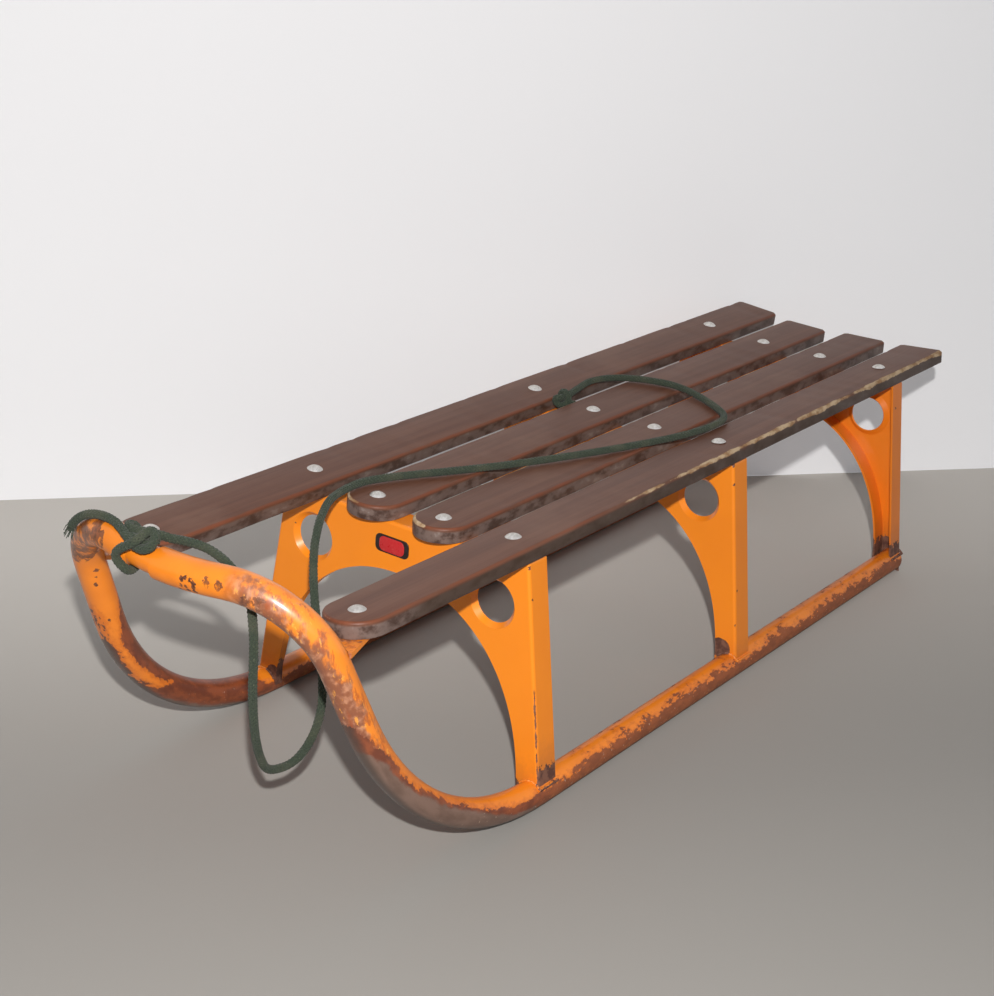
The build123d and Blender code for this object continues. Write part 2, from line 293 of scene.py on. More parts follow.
def frayed_end(name, line, yarns, reach, droop):
    """Yarns that fan out from the end of a line."""
    draw = random.Random(name)
    way = (line[-1] - line[-4]).normalized()
    curve = bpy.data.curves.new(name, "CURVE")
    curve.dimensions = "3D"
    curve.bevel_depth = yarn_radius
    curve.bevel_resolution = 0
    for _ in range(yarns):
        spot = Vector([draw.uniform(-1, 1) for _ in range(3)]).normalized() * strand_ring
        start = line[-1] - way * 1.5 * mm + spot - way * spot.dot(way)
        lean = way + Vector([draw.uniform(-1, 1) for _ in range(3)]) * 0.7
        long = reach * draw.uniform(0.6, 1.1)
        points = [start + lean.normalized() * long * k / 6 + Vector((0, 0, -droop)) * (k / 6) ** 2
                  + Vector([draw.uniform(-1, 1) for _ in range(3)]) * 0.3 * mm for k in range(7)]
        add_strand(curve, points, yarn_radius)
    return mesh_piece(name, mesh_of(curve))


tail_fray = frayed_end("rope_tail_fray", tail_line, yarns=46, reach=8 * mm, droop=3 * mm)
knot_fray = frayed_end("rope_end_knot_fray", overhand_line, yarns=34, reach=5 * mm, droop=2 * mm)


def node(tree, kind, settings=None, **inputs):
    """Adds a shader node. An input is a value or another node's socket, and goes by its name on the
    node or by n and its number."""
    made = tree.nodes.new("ShaderNode" + kind)
    for key, value in (settings or {}).items():
        setattr(made, key, value)
    for key, value in inputs.items():
        numbered = key[0] == "n" and key[1:].isdigit()
        socket = made.inputs[int(key[1:]) if numbered else key]
        if isinstance(value, bpy.types.NodeSocket):
            tree.links.new(value, socket)
        else:
            socket.default_value = value
    return made


def sum_up(tree, operation, *values):
    """One step of arithmetic on numbers."""
    inputs = {f"n{i}": value for i, value in enumerate(values)}
    return node(tree, "Math", {"operation": operation}, **inputs).outputs[0]


def spread(tree, value, low, high, start=0.0, end=1.0):
    """A number that eases from start to end as the value goes from low to high."""
    settings = {"interpolation_type": "SMOOTHSTEP"}
    made = node(tree, "MapRange", settings, Value=value)
    for key, number in (("From Min", low), ("From Max", high), ("To Min", start), ("To Max", end)):
        made.inputs[key].default_value = number
    return made.outputs[0]


def mottle(tree, place, size, detail=4.0, roughness=0.55, stretch=None):
    """Noise whose patches are about the given size in metres."""
    if stretch:
        place = node(tree, "Mapping", Vector=place, Scale=stretch).outputs[0]
    made = node(tree, "TexNoise", Vector=place, Scale=1 / size, Detail=detail, Roughness=roughness)
    return made.outputs[0]


def blend(tree, share, first, second):
    """A colour between two others."""
    made = tree.nodes.new("ShaderNodeMix")
    made.data_type = "RGBA"
    for socket, value in ((made.inputs[0], share), (made.inputs[6], first), (made.inputs[7], second)):
        if isinstance(value, bpy.types.NodeSocket):
            tree.links.new(value, socket)
        else:
            socket.default_value = value if isinstance(value, float) else (*value, 1)
    return made.outputs[2]


def new_finish(name):
    """A material, its tree, its surface and the place on the object."""
    material = bpy.data.materials.new(name)
    material.use_nodes = True
    tree = material.node_tree
    surface = next(n for n in tree.nodes if n.type == "BSDF_PRINCIPLED")
    return material, tree, surface, node(tree, "TexCoord").outputs["Object"]


def join(tree, surface, **outputs):
    """Links sockets to the surface's inputs, an underscore standing for a blank."""
    for key, socket in outputs.items():
        tree.links.new(socket, surface.inputs[key.replace("_", " ")])


def relief(tree, surface, height, depth):
    """Gives the surface a relief of that depth in metres."""
    bump = node(tree, "Bump", Height=height, Distance=depth)
    tree.links.new(bump.outputs[0], surface.inputs["Normal"])


def green_cord():
    material, tree, surface, place = new_finish("green_cord")
    yarn = mottle(tree, place, 1.1 * mm, 3, 0.6)
    patches = mottle(tree, place, 26 * mm, 3, 0.5)
    flecks = mottle(tree, place, 1.5 * mm, 3, 0.6)
    colour = blend(tree, spread(tree, yarn, 0.35, 0.7), (0.018, 0.030, 0.018), (0.040, 0.054, 0.032))
    colour = blend(tree, spread(tree, flecks, 0.60, 0.74, 0, 0.55), colour, (0.15, 0.165, 0.105))
    colour = blend(tree, spread(tree, patches, 0.45, 0.7, 0, 0.40), colour, (0.080, 0.080, 0.048))
    join(tree, surface, Base_Color=colour)
    surface.inputs["Roughness"].default_value = 0.9
    surface.inputs["Sheen Weight"].default_value = 0.1
    surface.inputs["Sheen Roughness"].default_value = 0.5
    relief(tree, surface, mottle(tree, place, 0.6 * mm, 3, 0.7), 0.15 * mm)
    return material


cord_finish = green_cord()
for piece in (pull_rope, rope_tail, crossbar_knot, end_knot, tail_fray, knot_fray):
    piece.data.materials.append(cord_finish)
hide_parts("rope")
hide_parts("rope_tail")

# The frame is one loop of 25 mm steel tube, bent up at the front, joined in the crossbar and
# sprayed orange. Snow and stones have worn its lower and outer side down to brown and grey steel,
# and hands have rubbed the paint thin round the near corner.
upsweep_start = 254.0 * mm
upsweep_radius = 234.0 * mm
bend_centre_height = 246.5 * mm
orange = (0.88, 0.25, 0.014)
orange_deep = (0.58, 0.125, 0.010)
orange_light = (0.93, 0.40, 0.06)
rust_red = (0.30, 0.085, 0.028)
rust_dark = (0.065, 0.022, 0.012)
steel_brown = (0.140, 0.080, 0.058)
steel_pale = (0.205, 0.125, 0.095)


def profile(tree, value, stops):
    """A number that runs in straight lines from stop to stop as the value grows."""
    low, high = stops[0][0], stops[-1][0]
    least = min(number for _, number in stops)
    most = max(number for _, number in stops)
    share = sum_up(tree, "DIVIDE", sum_up(tree, "SUBTRACT", value, low), high - low)
    ramp = node(tree, "ValToRGB", Fac=share)
    elements = ramp.color_ramp.elements
    for at, _ in stops[1:-1]:
        elements.new((at - low) / (high - low))
    for element, (_, number) in zip(elements, stops):
        level = (number - least) / (most - least)
        element.color = (level, level, level, 1)
    return sum_up(tree, "MULTIPLY_ADD", ramp.outputs[0], most - least, least)


def marks(tree, place, spots, ragged, fringe):
    """1 on ragged spots, each given by its middle in millimetres and its radius."""
    inside = None
    for *middle, radius in spots:
        apart = node(tree, "VectorMath", {"operation": "DISTANCE"}, n0=place, n1=Vector(middle) * mm)
        within = sum_up(tree, "SUBTRACT", radius * mm, apart.outputs["Value"])
        inside = within if inside is None else sum_up(tree, "MAXIMUM", inside, within)
    inside = sum_up(tree, "MULTIPLY_ADD", sum_up(tree, "SUBTRACT", ragged, 0.5), fringe * mm, inside)
    return spread(tree, inside, 0.0, 0.5 * mm)


def tube_paint(name, outer_edge, inner_edge, grey_edge, thin_edge, chips, rusty):
    """Paint on one half of the tube. Along the tube in metres, the tables say how far the surface may
    face out of the bend, or into it, before its paint is gone, and how far out it is scraped to
    greyish steel and rubbed thin."""
    material, tree, surface, place = new_finish(name)
    split = node(tree, "SeparateXYZ", Vector=place).outputs
    facing = node(tree, "SeparateXYZ", Vector=node(tree, "NewGeometry").outputs["Normal"]).outputs
    ahead = sum_up(tree, "MAXIMUM", sum_up(tree, "SUBTRACT", split[0], upsweep_start), 0.0)
    below = sum_up(tree, "SUBTRACT", bend_centre_height, split[2])
    reach = sum_up(tree, "SQRT", sum_up(tree, "ADD", sum_up(tree, "MULTIPLY", ahead, ahead),
                                        sum_up(tree, "MULTIPLY", below, below)))
    outward = sum_up(tree, "SUBTRACT", sum_up(tree, "MULTIPLY", facing[0], ahead),
                     sum_up(tree, "MULTIPLY", facing[2], below))
    away = sum_up(tree, "DIVIDE", outward, sum_up(tree, "MAXIMUM", reach, 0.02))
    turned = sum_up(tree, "MULTIPLY", sum_up(tree, "ARCTAN2", ahead, below), upsweep_radius)
    along = sum_up(tree, "ADD", sum_up(tree, "MINIMUM", split[0], upsweep_start), turned)
    # Places unrolled from the bend, so that streaks can run along the tube
    unrolled = node(tree, "CombineXYZ", X=along, Y=split[1], Z=reach).outputs[0]
    coarse = mottle(tree, unrolled, 22 * mm, 5, 0.6, (0.55, 1, 1))
    fine = mottle(tree, unrolled, 4.5 * mm, 5, 0.62, (0.6, 1, 1))
    ragged = sum_up(tree, "ADD", sum_up(tree, "MULTIPLY", sum_up(tree, "SUBTRACT", coarse, 0.5), 2.0),
                    sum_up(tree, "MULTIPLY", sum_up(tree, "SUBTRACT", fine, 0.5), 1.5))
    runner = spread(tree, along, 0.30, 0.22)
    ragged = sum_up(tree, "MULTIPLY", ragged, spread(tree, runner, 0, 1, 0.62, 1.0))
    past_outer = sum_up(tree, "SUBTRACT", away, profile(tree, along, outer_edge))
    past_inner = sum_up(tree, "SUBTRACT", profile(tree, along, inner_edge), away)
    past = sum_up(tree, "MAXIMUM", past_outer, past_inner)
    wear = sum_up(tree, "ADD", past, ragged)
    bare = spread(tree, wear, 0.0, 0.07)
    stained = spread(tree, wear, -0.30, 0.0, 0, 0.6)
    # Worn places: red-brown rust on the runners, smooth greyish steel round the outside of the bend
    rust_patches = mottle(tree, unrolled, 9 * mm, 5, 0.6, (0.5, 1, 1))
    rust = blend(tree, spread(tree, rust_patches, 0.38, 0.62), rust_dark, rust_red)
    rust_evened = blend(tree, runner, (0.23, 0.048, 0.016), rust_red)
    rust = blend(tree, spread(tree, runner, 0, 1, 0.5, 0.65), rust, rust_evened)
    rust_specks = mottle(tree, place, 3.0 * mm, 2, 0.5)
    rust = blend(tree, spread(tree, rust_specks, 0.71, 0.75), rust, (0.50, 0.17, 0.05))
    steel_patches = mottle(tree, unrolled, 16 * mm, 5, 0.6, (0.4, 1, 1))
    steel = blend(tree, spread(tree, steel_patches, 0.40, 0.64), steel_brown, steel_pale)
    past_grey = sum_up(tree, "SUBTRACT", away, profile(tree, along, grey_edge))
    greyed = spread(tree, sum_up(tree, "MULTIPLY_ADD", ragged, 0.6, past_grey), -0.05, 0.22)
    worn = blend(tree, greyed, rust, steel)
    # The foot of the runner is scraped in lace. Its lowest line, facing the floor, is painted near black:
    # dark wear from the ground with painted shade from the floor beneath added
    lace = spread(tree, mottle(tree, unrolled, 3.2 * mm, 4, 0.7), 0.54, 0.60)
    underfoot = sum_up(tree, "MULTIPLY", runner, spread(tree, away, -0.1, 0.45, 0, 0.75))
    lace = sum_up(tree, "MULTIPLY", lace, underfoot)
    worn = blend(tree, lace, worn, (0.50, 0.18, 0.035))
    worn = blend(tree, spread(tree, away, 0.72, 0.98, 0, 0.75), worn, (0.050, 0.032, 0.025))
    glints = spread(tree, mottle(tree, place, 2.6 * mm, 2, 0.5), 0.70, 0.73, 0, 0.6)
    glints = sum_up(tree, "MULTIPLY", glints, spread(tree, split[2], 0.06, 0.03))
    worn = blend(tree, glints, worn, (0.55, 0.42, 0.32))
    # Rubbed paint: soft mauve brown, with paler spots and flecks of whole paint
    share = sum_up(tree, "MULTIPLY", spread(tree, sum_up(tree, "ABSOLUTE", split[1]), 0.056, 0.082),
                   spread(tree, along, 0.40, 0.48))
    outer = sum_up(tree, "SUBTRACT", away, profile(tree, along, thin_edge))
    soft = sum_up(tree, "MULTIPLY_ADD", outer, 0.22, mottle(tree, unrolled, 13 * mm, 4, 0.58, (0.6, 1, 1)))
    thin = sum_up(tree, "MULTIPLY", spread(tree, soft, 0.42, 0.58, 0, 0.92), share)
    spots = spread(tree, mottle(tree, unrolled, 7 * mm, 4, 0.55), 0.46, 0.70)
    mauve = blend(tree, spots, (0.225, 0.076, 0.040), (0.49, 0.235, 0.140))
    red_streaks = mottle(tree, unrolled, 10 * mm, 4, 0.6, (0.35, 1, 1))
    mauve = blend(tree, spread(tree, red_streaks, 0.54, 0.64, 0, 0.8), mauve, (0.30, 0.065, 0.022))
    tone = spread(tree, mottle(tree, unrolled, 30 * mm, 3, 0.5), 0.3, 0.7, 0, 0.30)
    colour = blend(tree, tone, orange, orange_deep)
    colour = blend(tree, stained, colour, orange_deep)
    streaks = spread(tree, mottle(tree, unrolled, 6 * mm, 5, 0.6, (0.22, 1, 1)), 0.52, 0.62, 0, 0.75)
    near_thin = sum_up(tree, "MULTIPLY", share, spread(tree, outer, -0.9, -0.1))
    colour = blend(tree, sum_up(tree, "MULTIPLY", streaks, near_thin), colour, (0.40, 0.075, 0.012))
    colour = blend(tree, thin, colour, mauve)
    flecks = spread(tree, mottle(tree, unrolled, 4.2 * mm, 4, 0.6, (0.5, 1, 1)), 0.60, 0.66)
    flecks = sum_up(tree, "MULTIPLY", flecks, sum_up(tree, "MULTIPLY", near_thin, 0.7))
    colour = blend(tree, flecks, colour, orange_light)
    # Chips down to dark rust, and larger areas that rust speckles
    dark_patches = mottle(tree, place, 4 * mm, 4, 0.6)
    dark = blend(tree, spread(tree, dark_patches, 0.42, 0.6), rust_dark, (0.21, 0.065, 0.025))
    chipped = marks(tree, place, chips, mottle(tree, place, 3 * mm, 3, 0.6), 6)
    area = marks(tree, place, rusty, mottle(tree, place, 12 * mm, 4, 0.6), 24)
    speckled = spread(tree, mottle(tree, place, 8 * mm, 5, 0.65), 0.36, 0.52, 0, 0.9)
    grimy = sum_up(tree, "MULTIPLY", area, speckled)
    colour = blend(tree, bare, colour, worn)
    colour = blend(tree, sum_up(tree, "MAXIMUM", chipped, grimy), colour, dark)
    gone = sum_up(tree, "MAXIMUM", sum_up(tree, "MAXIMUM", bare, chipped), grimy)
    gloss = blend(tree, share, (0.30,) * 3, (0.42,) * 3)
    gloss = blend(tree, gone, gloss, (0.42,) * 3)
    gloss = blend(tree, sum_up(tree, "MULTIPLY", runner, bare), gloss, (0.66,) * 3)
    join(tree, surface, Base_Color=colour, Roughness=gloss, Coat_Weight=spread(tree, share, 0, 1, 0.0, 0.6))
    surface.inputs["Coat Roughness"].default_value = 0.22
    surface.inputs["Specular IOR Level"].default_value = 0.50
    grit = mottle(tree, place, 1.4 * mm, 5, 0.7)
    height = sum_up(tree, "SUBTRACT", sum_up(tree, "MULTIPLY", grit, 0.35), gone)
    relief(tree, surface, height, 0.10 * mm)
    return material


def dress(name, finish):
    """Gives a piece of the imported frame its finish."""
    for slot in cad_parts[name].material_slots:
        slot.link = "OBJECT"
        slot.material = finish


left_paint = tube_paint(
    "tube_paint_left",
    outer_edge=[(-0.46, -0.66), (0.16, -0.70), (0.25, -0.50), (0.29, -0.50), (0.33, -0.62),
                (0.37, -0.68), (0.41, -0.56), (0.45, -0.40), (0.486, -0.18), (0.51, 0.25),
                (0.53, 0.8), (0.56, 1.9), (0.66, 1.9)],
    inner_edge=[(-0.46, -1.9), (0.20, -1.9), (0.66, -1.95)],
    grey_edge=[(-0.46, 1.6), (0.24, 1.6), (0.27, 0.15), (0.305, 0.0), (0.347, -0.48),
               (0.385, -0.50), (0.43, -0.25), (0.461, -0.02), (0.49, 0.18), (0.507, 0.7),
               (0.52, 1.5), (0.66, 1.9)],
    thin_edge=[(-0.46, 3.0), (0.44, 3.0), (0.475, 0.5), (0.50, 0.05), (0.58, 0.10), (0.605, 0.42),
               (0.63, 0.56), (0.66, 0.56)],
    chips=[(548.1, 28.1, 261.4, 2.3), (547.7, 31, 263, 2.0), (547.2, 35, 263, 2.0),
           (546.8, 38.7, 260.8, 2.3), (546.5, 26.6, 257, 2.0), (543.9, 24.5, 252, 2.2),
           (546.0, 39, 257.5, 2.1), (544.9, 38.8, 253.5, 1.8), (545, 32, 253, 2.0),
           (546.0, 32, 256, 1.5)],
    rusty=[(544.6, 51, 264, 3.5), (543.0, 58, 262, 4.0), (538, 78, 257, 5.0), (533, 88, 254, 5.0)])
right_paint = tube_paint(
    "tube_paint_right",
    outer_edge=[(-0.46, -0.55), (0.18, -0.70), (0.245, -0.35), (0.272, -0.35), (0.29, -1.4),
                (0.40, -1.4), (0.425, 0.62), (0.45, 0.74), (0.50, 0.80), (0.54, 0.98), (0.57, 1.9),
                (0.66, 1.9)],
    inner_edge=[(-0.46, -1.9), (0.39, -1.9), (0.41, -0.30), (0.449, 0.0), (0.473, 0.22),
                (0.50, 0.35), (0.52, 0.10), (0.54, -0.45), (0.56, -1.2), (0.60, -1.9), (0.66, -1.9)],
    grey_edge=[(-0.46, 1.6), (0.24, 1.6), (0.28, 0.45), (0.34, 0.50), (0.40, 0.62), (0.45, 0.85),
               (0.52, 0.9), (0.56, 1.9), (0.66, 1.9)],
    thin_edge=[(-0.46, 3.0), (0.66, 3.1)],
    chips=[(499, -113.4, 208.6, 2.1), (497.5, -115, 202, 1.4), (495.6, -117.3, 193.5, 2.1),
           (500.5, -116, 213, 1.2), (485.3, -130.4, 159, 1.7), (478, -121, 156, 1.6),
           (486, -128, 168, 1.3)],
    rusty=[(534, -78, 262, 21), (524, -104, 247, 21), (512, -114, 230, 13)])
dress("runner_tube_left", left_paint)
dress("lug_left", left_paint)
dress("runner_tube_right", right_paint)
dress("lug_right", right_paint)

# The bunks are pressed from 2 mm steel sheet, with an arch, two dimpled holes and a turned edge,
# and sprayed with the frame. Their paint is whole, with a few chips on the bends and rust below.
bunk_orange = (0.90, 0.262, 0.013)


def bunk_paint():
    material, tree, surface, place = new_finish("bunk_paint")
    split = node(tree, "SeparateXYZ", Vector=place).outputs
    facing = node(tree, "SeparateXYZ", Vector=node(tree, "NewGeometry").outputs["Normal"]).outputs
    side = spread(tree, sum_up(tree, "ABSOLUTE", facing[1]), 0.5, 0.9)
    ragged = mottle(tree, place, 5 * mm, 5, 0.62)
    # Rust climbs the feet, to a height that differs from bunk to bunk
    climb = profile(tree, split[0], [(-0.46, 0.037), (-0.40, 0.036), (-0.20, 0.015), (0.10, 0.015),
                                     (0.20, 0.021), (0.27, 0.021)])
    front_sides = sum_up(tree, "MULTIPLY", side, spread(tree, split[0], 0.1, 0.2, 0, 0.017))
    climb = sum_up(tree, "ADD", climb, front_sides)
    climb = sum_up(tree, "MULTIPLY_ADD", sum_up(tree, "SUBTRACT", ragged, 0.5), 0.024, climb)
    foot = sum_up(tree, "SUBTRACT", climb, split[2])
    rust = spread(tree, foot, 0.0, 0.0012)
    # Darker towards the feet, in a band up to 30 mm above the rust
    darker_above_rust = spread(tree, foot, -0.030, 0.0, 0, 0.45)
    # Rounded patches of rust stand on the middle bunk's feet and the front bunk's far foot
    patches = [(-71, 140.5, 28, 11), (-71, -135.5, 27, 7), (262.5, -140, 24, 8)]
    patches = marks(tree, place, patches, ragged, 3)
    patches = sum_up(tree, "MULTIPLY", patches, spread(tree, split[2], 0.018, 0.020))
    # A worn line down the near bend of the front bunk, and a few chips
    leg_line = sum_up(tree, "MULTIPLY_ADD", split[2], -tan(radians(8.0)), 0.1618)
    from_bend = sum_up(tree, "SUBTRACT", leg_line, sum_up(tree, "ADD", split[1], 0.0012))
    from_bend = sum_up(tree, "ABSOLUTE", from_bend)
    line = sum_up(tree, "MULTIPLY_ADD", sum_up(tree, "SUBTRACT", ragged, 0.5), 0.003, from_bend)
    on_web = spread(tree, split[0], 0.2600, 0.2612)
    line = sum_up(tree, "MULTIPLY", spread(tree, line, 0.0006, 0.0001), on_web)
    low_and_near = sum_up(tree, "MULTIPLY", spread(tree, split[2], 0.110, 0.104),
                          spread(tree, split[1], 0.0, 0.1))
    line = sum_up(tree, "MULTIPLY", line, low_and_near)
    chips = [(-71.8, 134.0, 196.4, 1.9), (-71.5, 131.2, 215.5, 2.6), (-71.5, 153.6, 56.5, 1.7),
             (-75.0, 149.0, 90.6, 1.2), (-429, 135.0, 190.6, 1.7), (261.5, 132.0, 213.0, 2.2),
             (259.6, 135.7, 185.9, 1.4), (-447, 150.0, 122.0, 1.2), (-78.0, -143.0, 133.0, 1.6),
             (-447, -60.0, 196.0, 1.6), (-447, 104.0, 205.0, 1.3), (262.5, -118.0, 178.0, 1.4)]
    chipped = marks(tree, place, chips, mottle(tree, place, 2.4 * mm, 3, 0.6), 5)
    tone = mottle(tree, place, 60 * mm, 3, 0.5)
    colour = blend(tree, spread(tree, tone, 0.3, 0.7, 0, 0.22), bunk_orange, (0.76, 0.19, 0.012))
    # Painted shade: the paint darkens and reddens towards the rear bunk, standing in for the lamp's light
    # falling off with distance
    colour = blend(tree, spread(tree, split[0], 0.05, -0.42, 0, 0.40), colour, (0.70, 0.150, 0.012))
    colour = blend(tree, darker_above_rust, colour, (0.46, 0.13, 0.025))
    gone = sum_up(tree, "MAXIMUM", sum_up(tree, "MAXIMUM", rust, patches),
                  sum_up(tree, "MAXIMUM", line, chipped))
    patina = mottle(tree, place, 7 * mm, 5, 0.6)
    dark = blend(tree, spread(tree, patina, 0.40, 0.62), (0.085, 0.032, 0.022), (0.19, 0.085, 0.055))
    colour = blend(tree, gone, colour, dark)
    join(tree, surface, Base_Color=colour, Roughness=spread(tree, gone, 0.0, 1.0, 0.30, 0.68))
    surface.inputs["Specular IOR Level"].default_value = 0.45
    ripple = sum_up(tree, "MULTIPLY", mottle(tree, place, 4 * mm, 3, 0.5), 0.3)
    height = sum_up(tree, "SUBTRACT", ripple, gone)
    relief(tree, surface, height, 0.10 * mm)
    return material


bunk_finish = bunk_paint()
for name in ("bunk_front", "bunk_middle", "bunk_rear"):
    dress(name, bunk_finish)

# Weld beads fix each bunk's feet to the runners: a row of overlapping drops of metal along the
# web's foot and along the foot of the leg's side, painted over and rusted.
bunk_webs = {"front": (262.5, -1), "middle": (-71.0, -1), "rear": (-447.0, 1)}
half_track = 150.5 * mm
tube_radius = 12.5 * mm
bunk_depth = 25 * mm
weld_drop = 1.4 * mm
web_seam_inner, web_seam_outer = -62, 47     # degrees round the tube from its top
web_seam_steps = 8
side_seam = radians(51)


def weld_bead(name, seams, drop):
    """Overlapping drops of weld along each seam."""
    draw = random.Random(name)
    shape = bmesh.new()
    for seam in seams:
        line = evened(seam, drop * 0.8)
        for place in line:
            made = bmesh.ops.create_icosphere(shape, subdivisions=2, radius=drop * draw.uniform(0.85, 1.15))
            bmesh.ops.translate(shape, verts=made["verts"], vec=place + Vector(
                [draw.uniform(-0.15, 0.15) * drop for _ in range(3)]))
    mesh = bpy.data.meshes.new(name)
    shape.to_mesh(mesh)
    shape.free()
    mesh.shade_smooth()
    return mesh_piece(name, mesh)


for row, (web, back) in bunk_webs.items():
    for hand, side in (("left", 1), ("right", -1)):
        middle = Vector((web * mm, side * half_track, tube_radius))
        web_reach = tube_radius + 0.6 * mm
        web_seam = []
        for k in range(web_seam_steps + 1):
            turn = radians(web_seam_inner + k * (web_seam_outer - web_seam_inner) / web_seam_steps)
            web_seam.append(middle + Vector((-back * 0.4 * mm, side * sin(turn) * web_reach,
                                             cos(turn) * web_reach)))
        side_reach = tube_radius + 0.8 * mm
        corner = middle + Vector((0, side * sin(side_seam) * side_reach, cos(side_seam) * side_reach))
        seams = [web_seam, [corner, corner + Vector((back * bunk_depth, 0, 0))]]
        bead = weld_bead(f"weld_{row}_{hand}", seams, weld_drop)
        bead.data.materials.append(bunk_finish)

# The seat slats are hardwood boards, rounded at the nose, with soft upper edges, under a dark
# red-brown varnish. Sitting and handling have worn the edges to redder and then to bare wood.
slat_width = 52 * mm
slat_thickness = 14 * mm
dish_radius = 1234 * mm
dish_low = 211.5 * mm
slat_lines = {1: -108 * mm, 2: -36 * mm, 3: 36 * mm, 4: 108 * mm}
rear_corner_cut = 4 * mm
upper_rounding, lower_rounding = 2.6 * mm, 1.2 * mm
edge_band = 3 * mm            # how far in from a side its upper edge is dented and worn
edge_worn_in, edge_worn_down = 2.0 * mm, 1.0 * mm


def slat_place(y):
    """The turn and place that put a level board on the dished bunks over Y = y."""
    rise = slat_width ** 2 / (8 * dish_radius) + 0.1 * mm
    height = dish_low + y ** 2 / (2 * dish_radius) + rise
    return Matrix.Translation((0, y, height)) @ Matrix.Rotation(atan(y / dish_radius), 4, "X")


def slat_ends(number):
    low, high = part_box(f"slat_{number}")
    return low.x, high.x


def slat_board(number):
    y = slat_lines[number]
    slat_rear, slat_nose = slat_ends(number)
    draw = random.Random(number)
    half = slat_width / 2
    nose_middle = slat_nose - half
    shape = bmesh.new()
    rear = [(slat_rear + rear_corner_cut, half), (slat_rear, half - rear_corner_cut),
            (slat_rear, rear_corner_cut - half), (slat_rear + rear_corner_cut, -half)]
    corners = [shape.verts.new((x, across, 0)) for x, across in rear]
    start = shape.verts.new((nose_middle, -half, 0))
    for a, b in zip(corners, corners[1:] + [start]):
        shape.edges.new((a, b))
    turned = bmesh.ops.spin(shape, geom=[start], cent=(nose_middle, 0, 0), axis=(0, 0, 1), angle=pi,
                            steps=28)
    shape.edges.new((turned["geom_last"][0], corners[0]))
    bmesh.ops.contextual_create(shape, geom=shape.edges[:])
    raised = bmesh.ops.extrude_face_region(shape, geom=shape.faces[:])["geom"]
    bmesh.ops.translate(shape, verts=[v for v in raised if isinstance(v, bmesh.types.BMVert)],
                        vec=(0, 0, slat_thickness))
    bmesh.ops.recalc_face_normals(shape, faces=shape.faces[:])
    rims = [e for e in shape.edges if abs(e.verts[0].co.z - e.verts[1].co.z) < 1e-6]
    upper = [e for e in rims if e.verts[0].co.z > slat_thickness / 2]
    lower = [e for e in rims if e.verts[0].co.z < slat_thickness / 2]
    for rim, rounding, segments in ((upper, upper_rounding, 4), (lower, lower_rounding, 2)):
        bmesh.ops.bevel(shape, geom=rim, offset=rounding, segments=segments, profile=0.5, affect="EDGES",
                        material=-1)
    cuts = int((nose_middle - slat_rear) / (7 * mm))
    for k in range(1, cuts):
        x = slat_rear + (nose_middle - slat_rear) * k / cuts
        bmesh.ops.bisect_plane(shape, geom=shape.verts[:] + shape.edges[:] + shape.faces[:],
                               plane_co=(x, 0, 0), plane_no=(1, 0, 0), dist=1e-6)
    # Sides that waver a little, small dents along the upper edges, and on the near outer slat an
    # edge that feet have worn round over its rear half
    dents = [(draw.uniform(slat_rear, nose_middle), draw.choice((-1, 1)), draw.uniform(0.3, 1.0) * mm)
             for _ in range(26)]
    for vertex in shape.verts:
        x, across, z = vertex.co
        waver = noise.noise(Vector((x * 22, number * 7.3, across * 8))) * 0.35 * mm
        if x < nose_middle:
            vertex.co.y += waver * (1 if abs(across) > half / 2 else 0)
        if z <= slat_thickness - 3.2 * mm:
            continue
        for at, hand, depth in dents:
            near = max(0.0, 1 - abs(x - at) / (9 * mm))
            if across * hand > half - edge_band:
                vertex.co.z -= depth * near * 0.6
                vertex.co.y -= hand * depth * near * 0.5
        if number == 4 and across > half - edge_band:
            long_waves = 0.6 * noise.noise(Vector((x * 35, 2.2, 0.4)))
            short_waves = 0.2 * noise.noise(Vector((x * 90, 5.1, 0.7)))
            rough = max(0, 0.85 + long_waves + short_waves)
            share = min(1, max(0, (0.16 - x) / 0.15)) * min(1, (x - slat_rear) / (40 * mm)) * rough
            vertex.co.y -= edge_worn_in * share
            vertex.co.z -= edge_worn_down * share
    bmesh.ops.transform(shape, matrix=slat_place(y), verts=shape.verts[:])
    mesh = bpy.data.meshes.new(f"slat_board_{number}")
    shape.to_mesh(mesh)
    shape.free()
    mesh.shade_smooth()
    mesh.set_sharp_from_angle(angle=radians(32))
    return mesh_piece(f"slat_board_{number}", mesh)


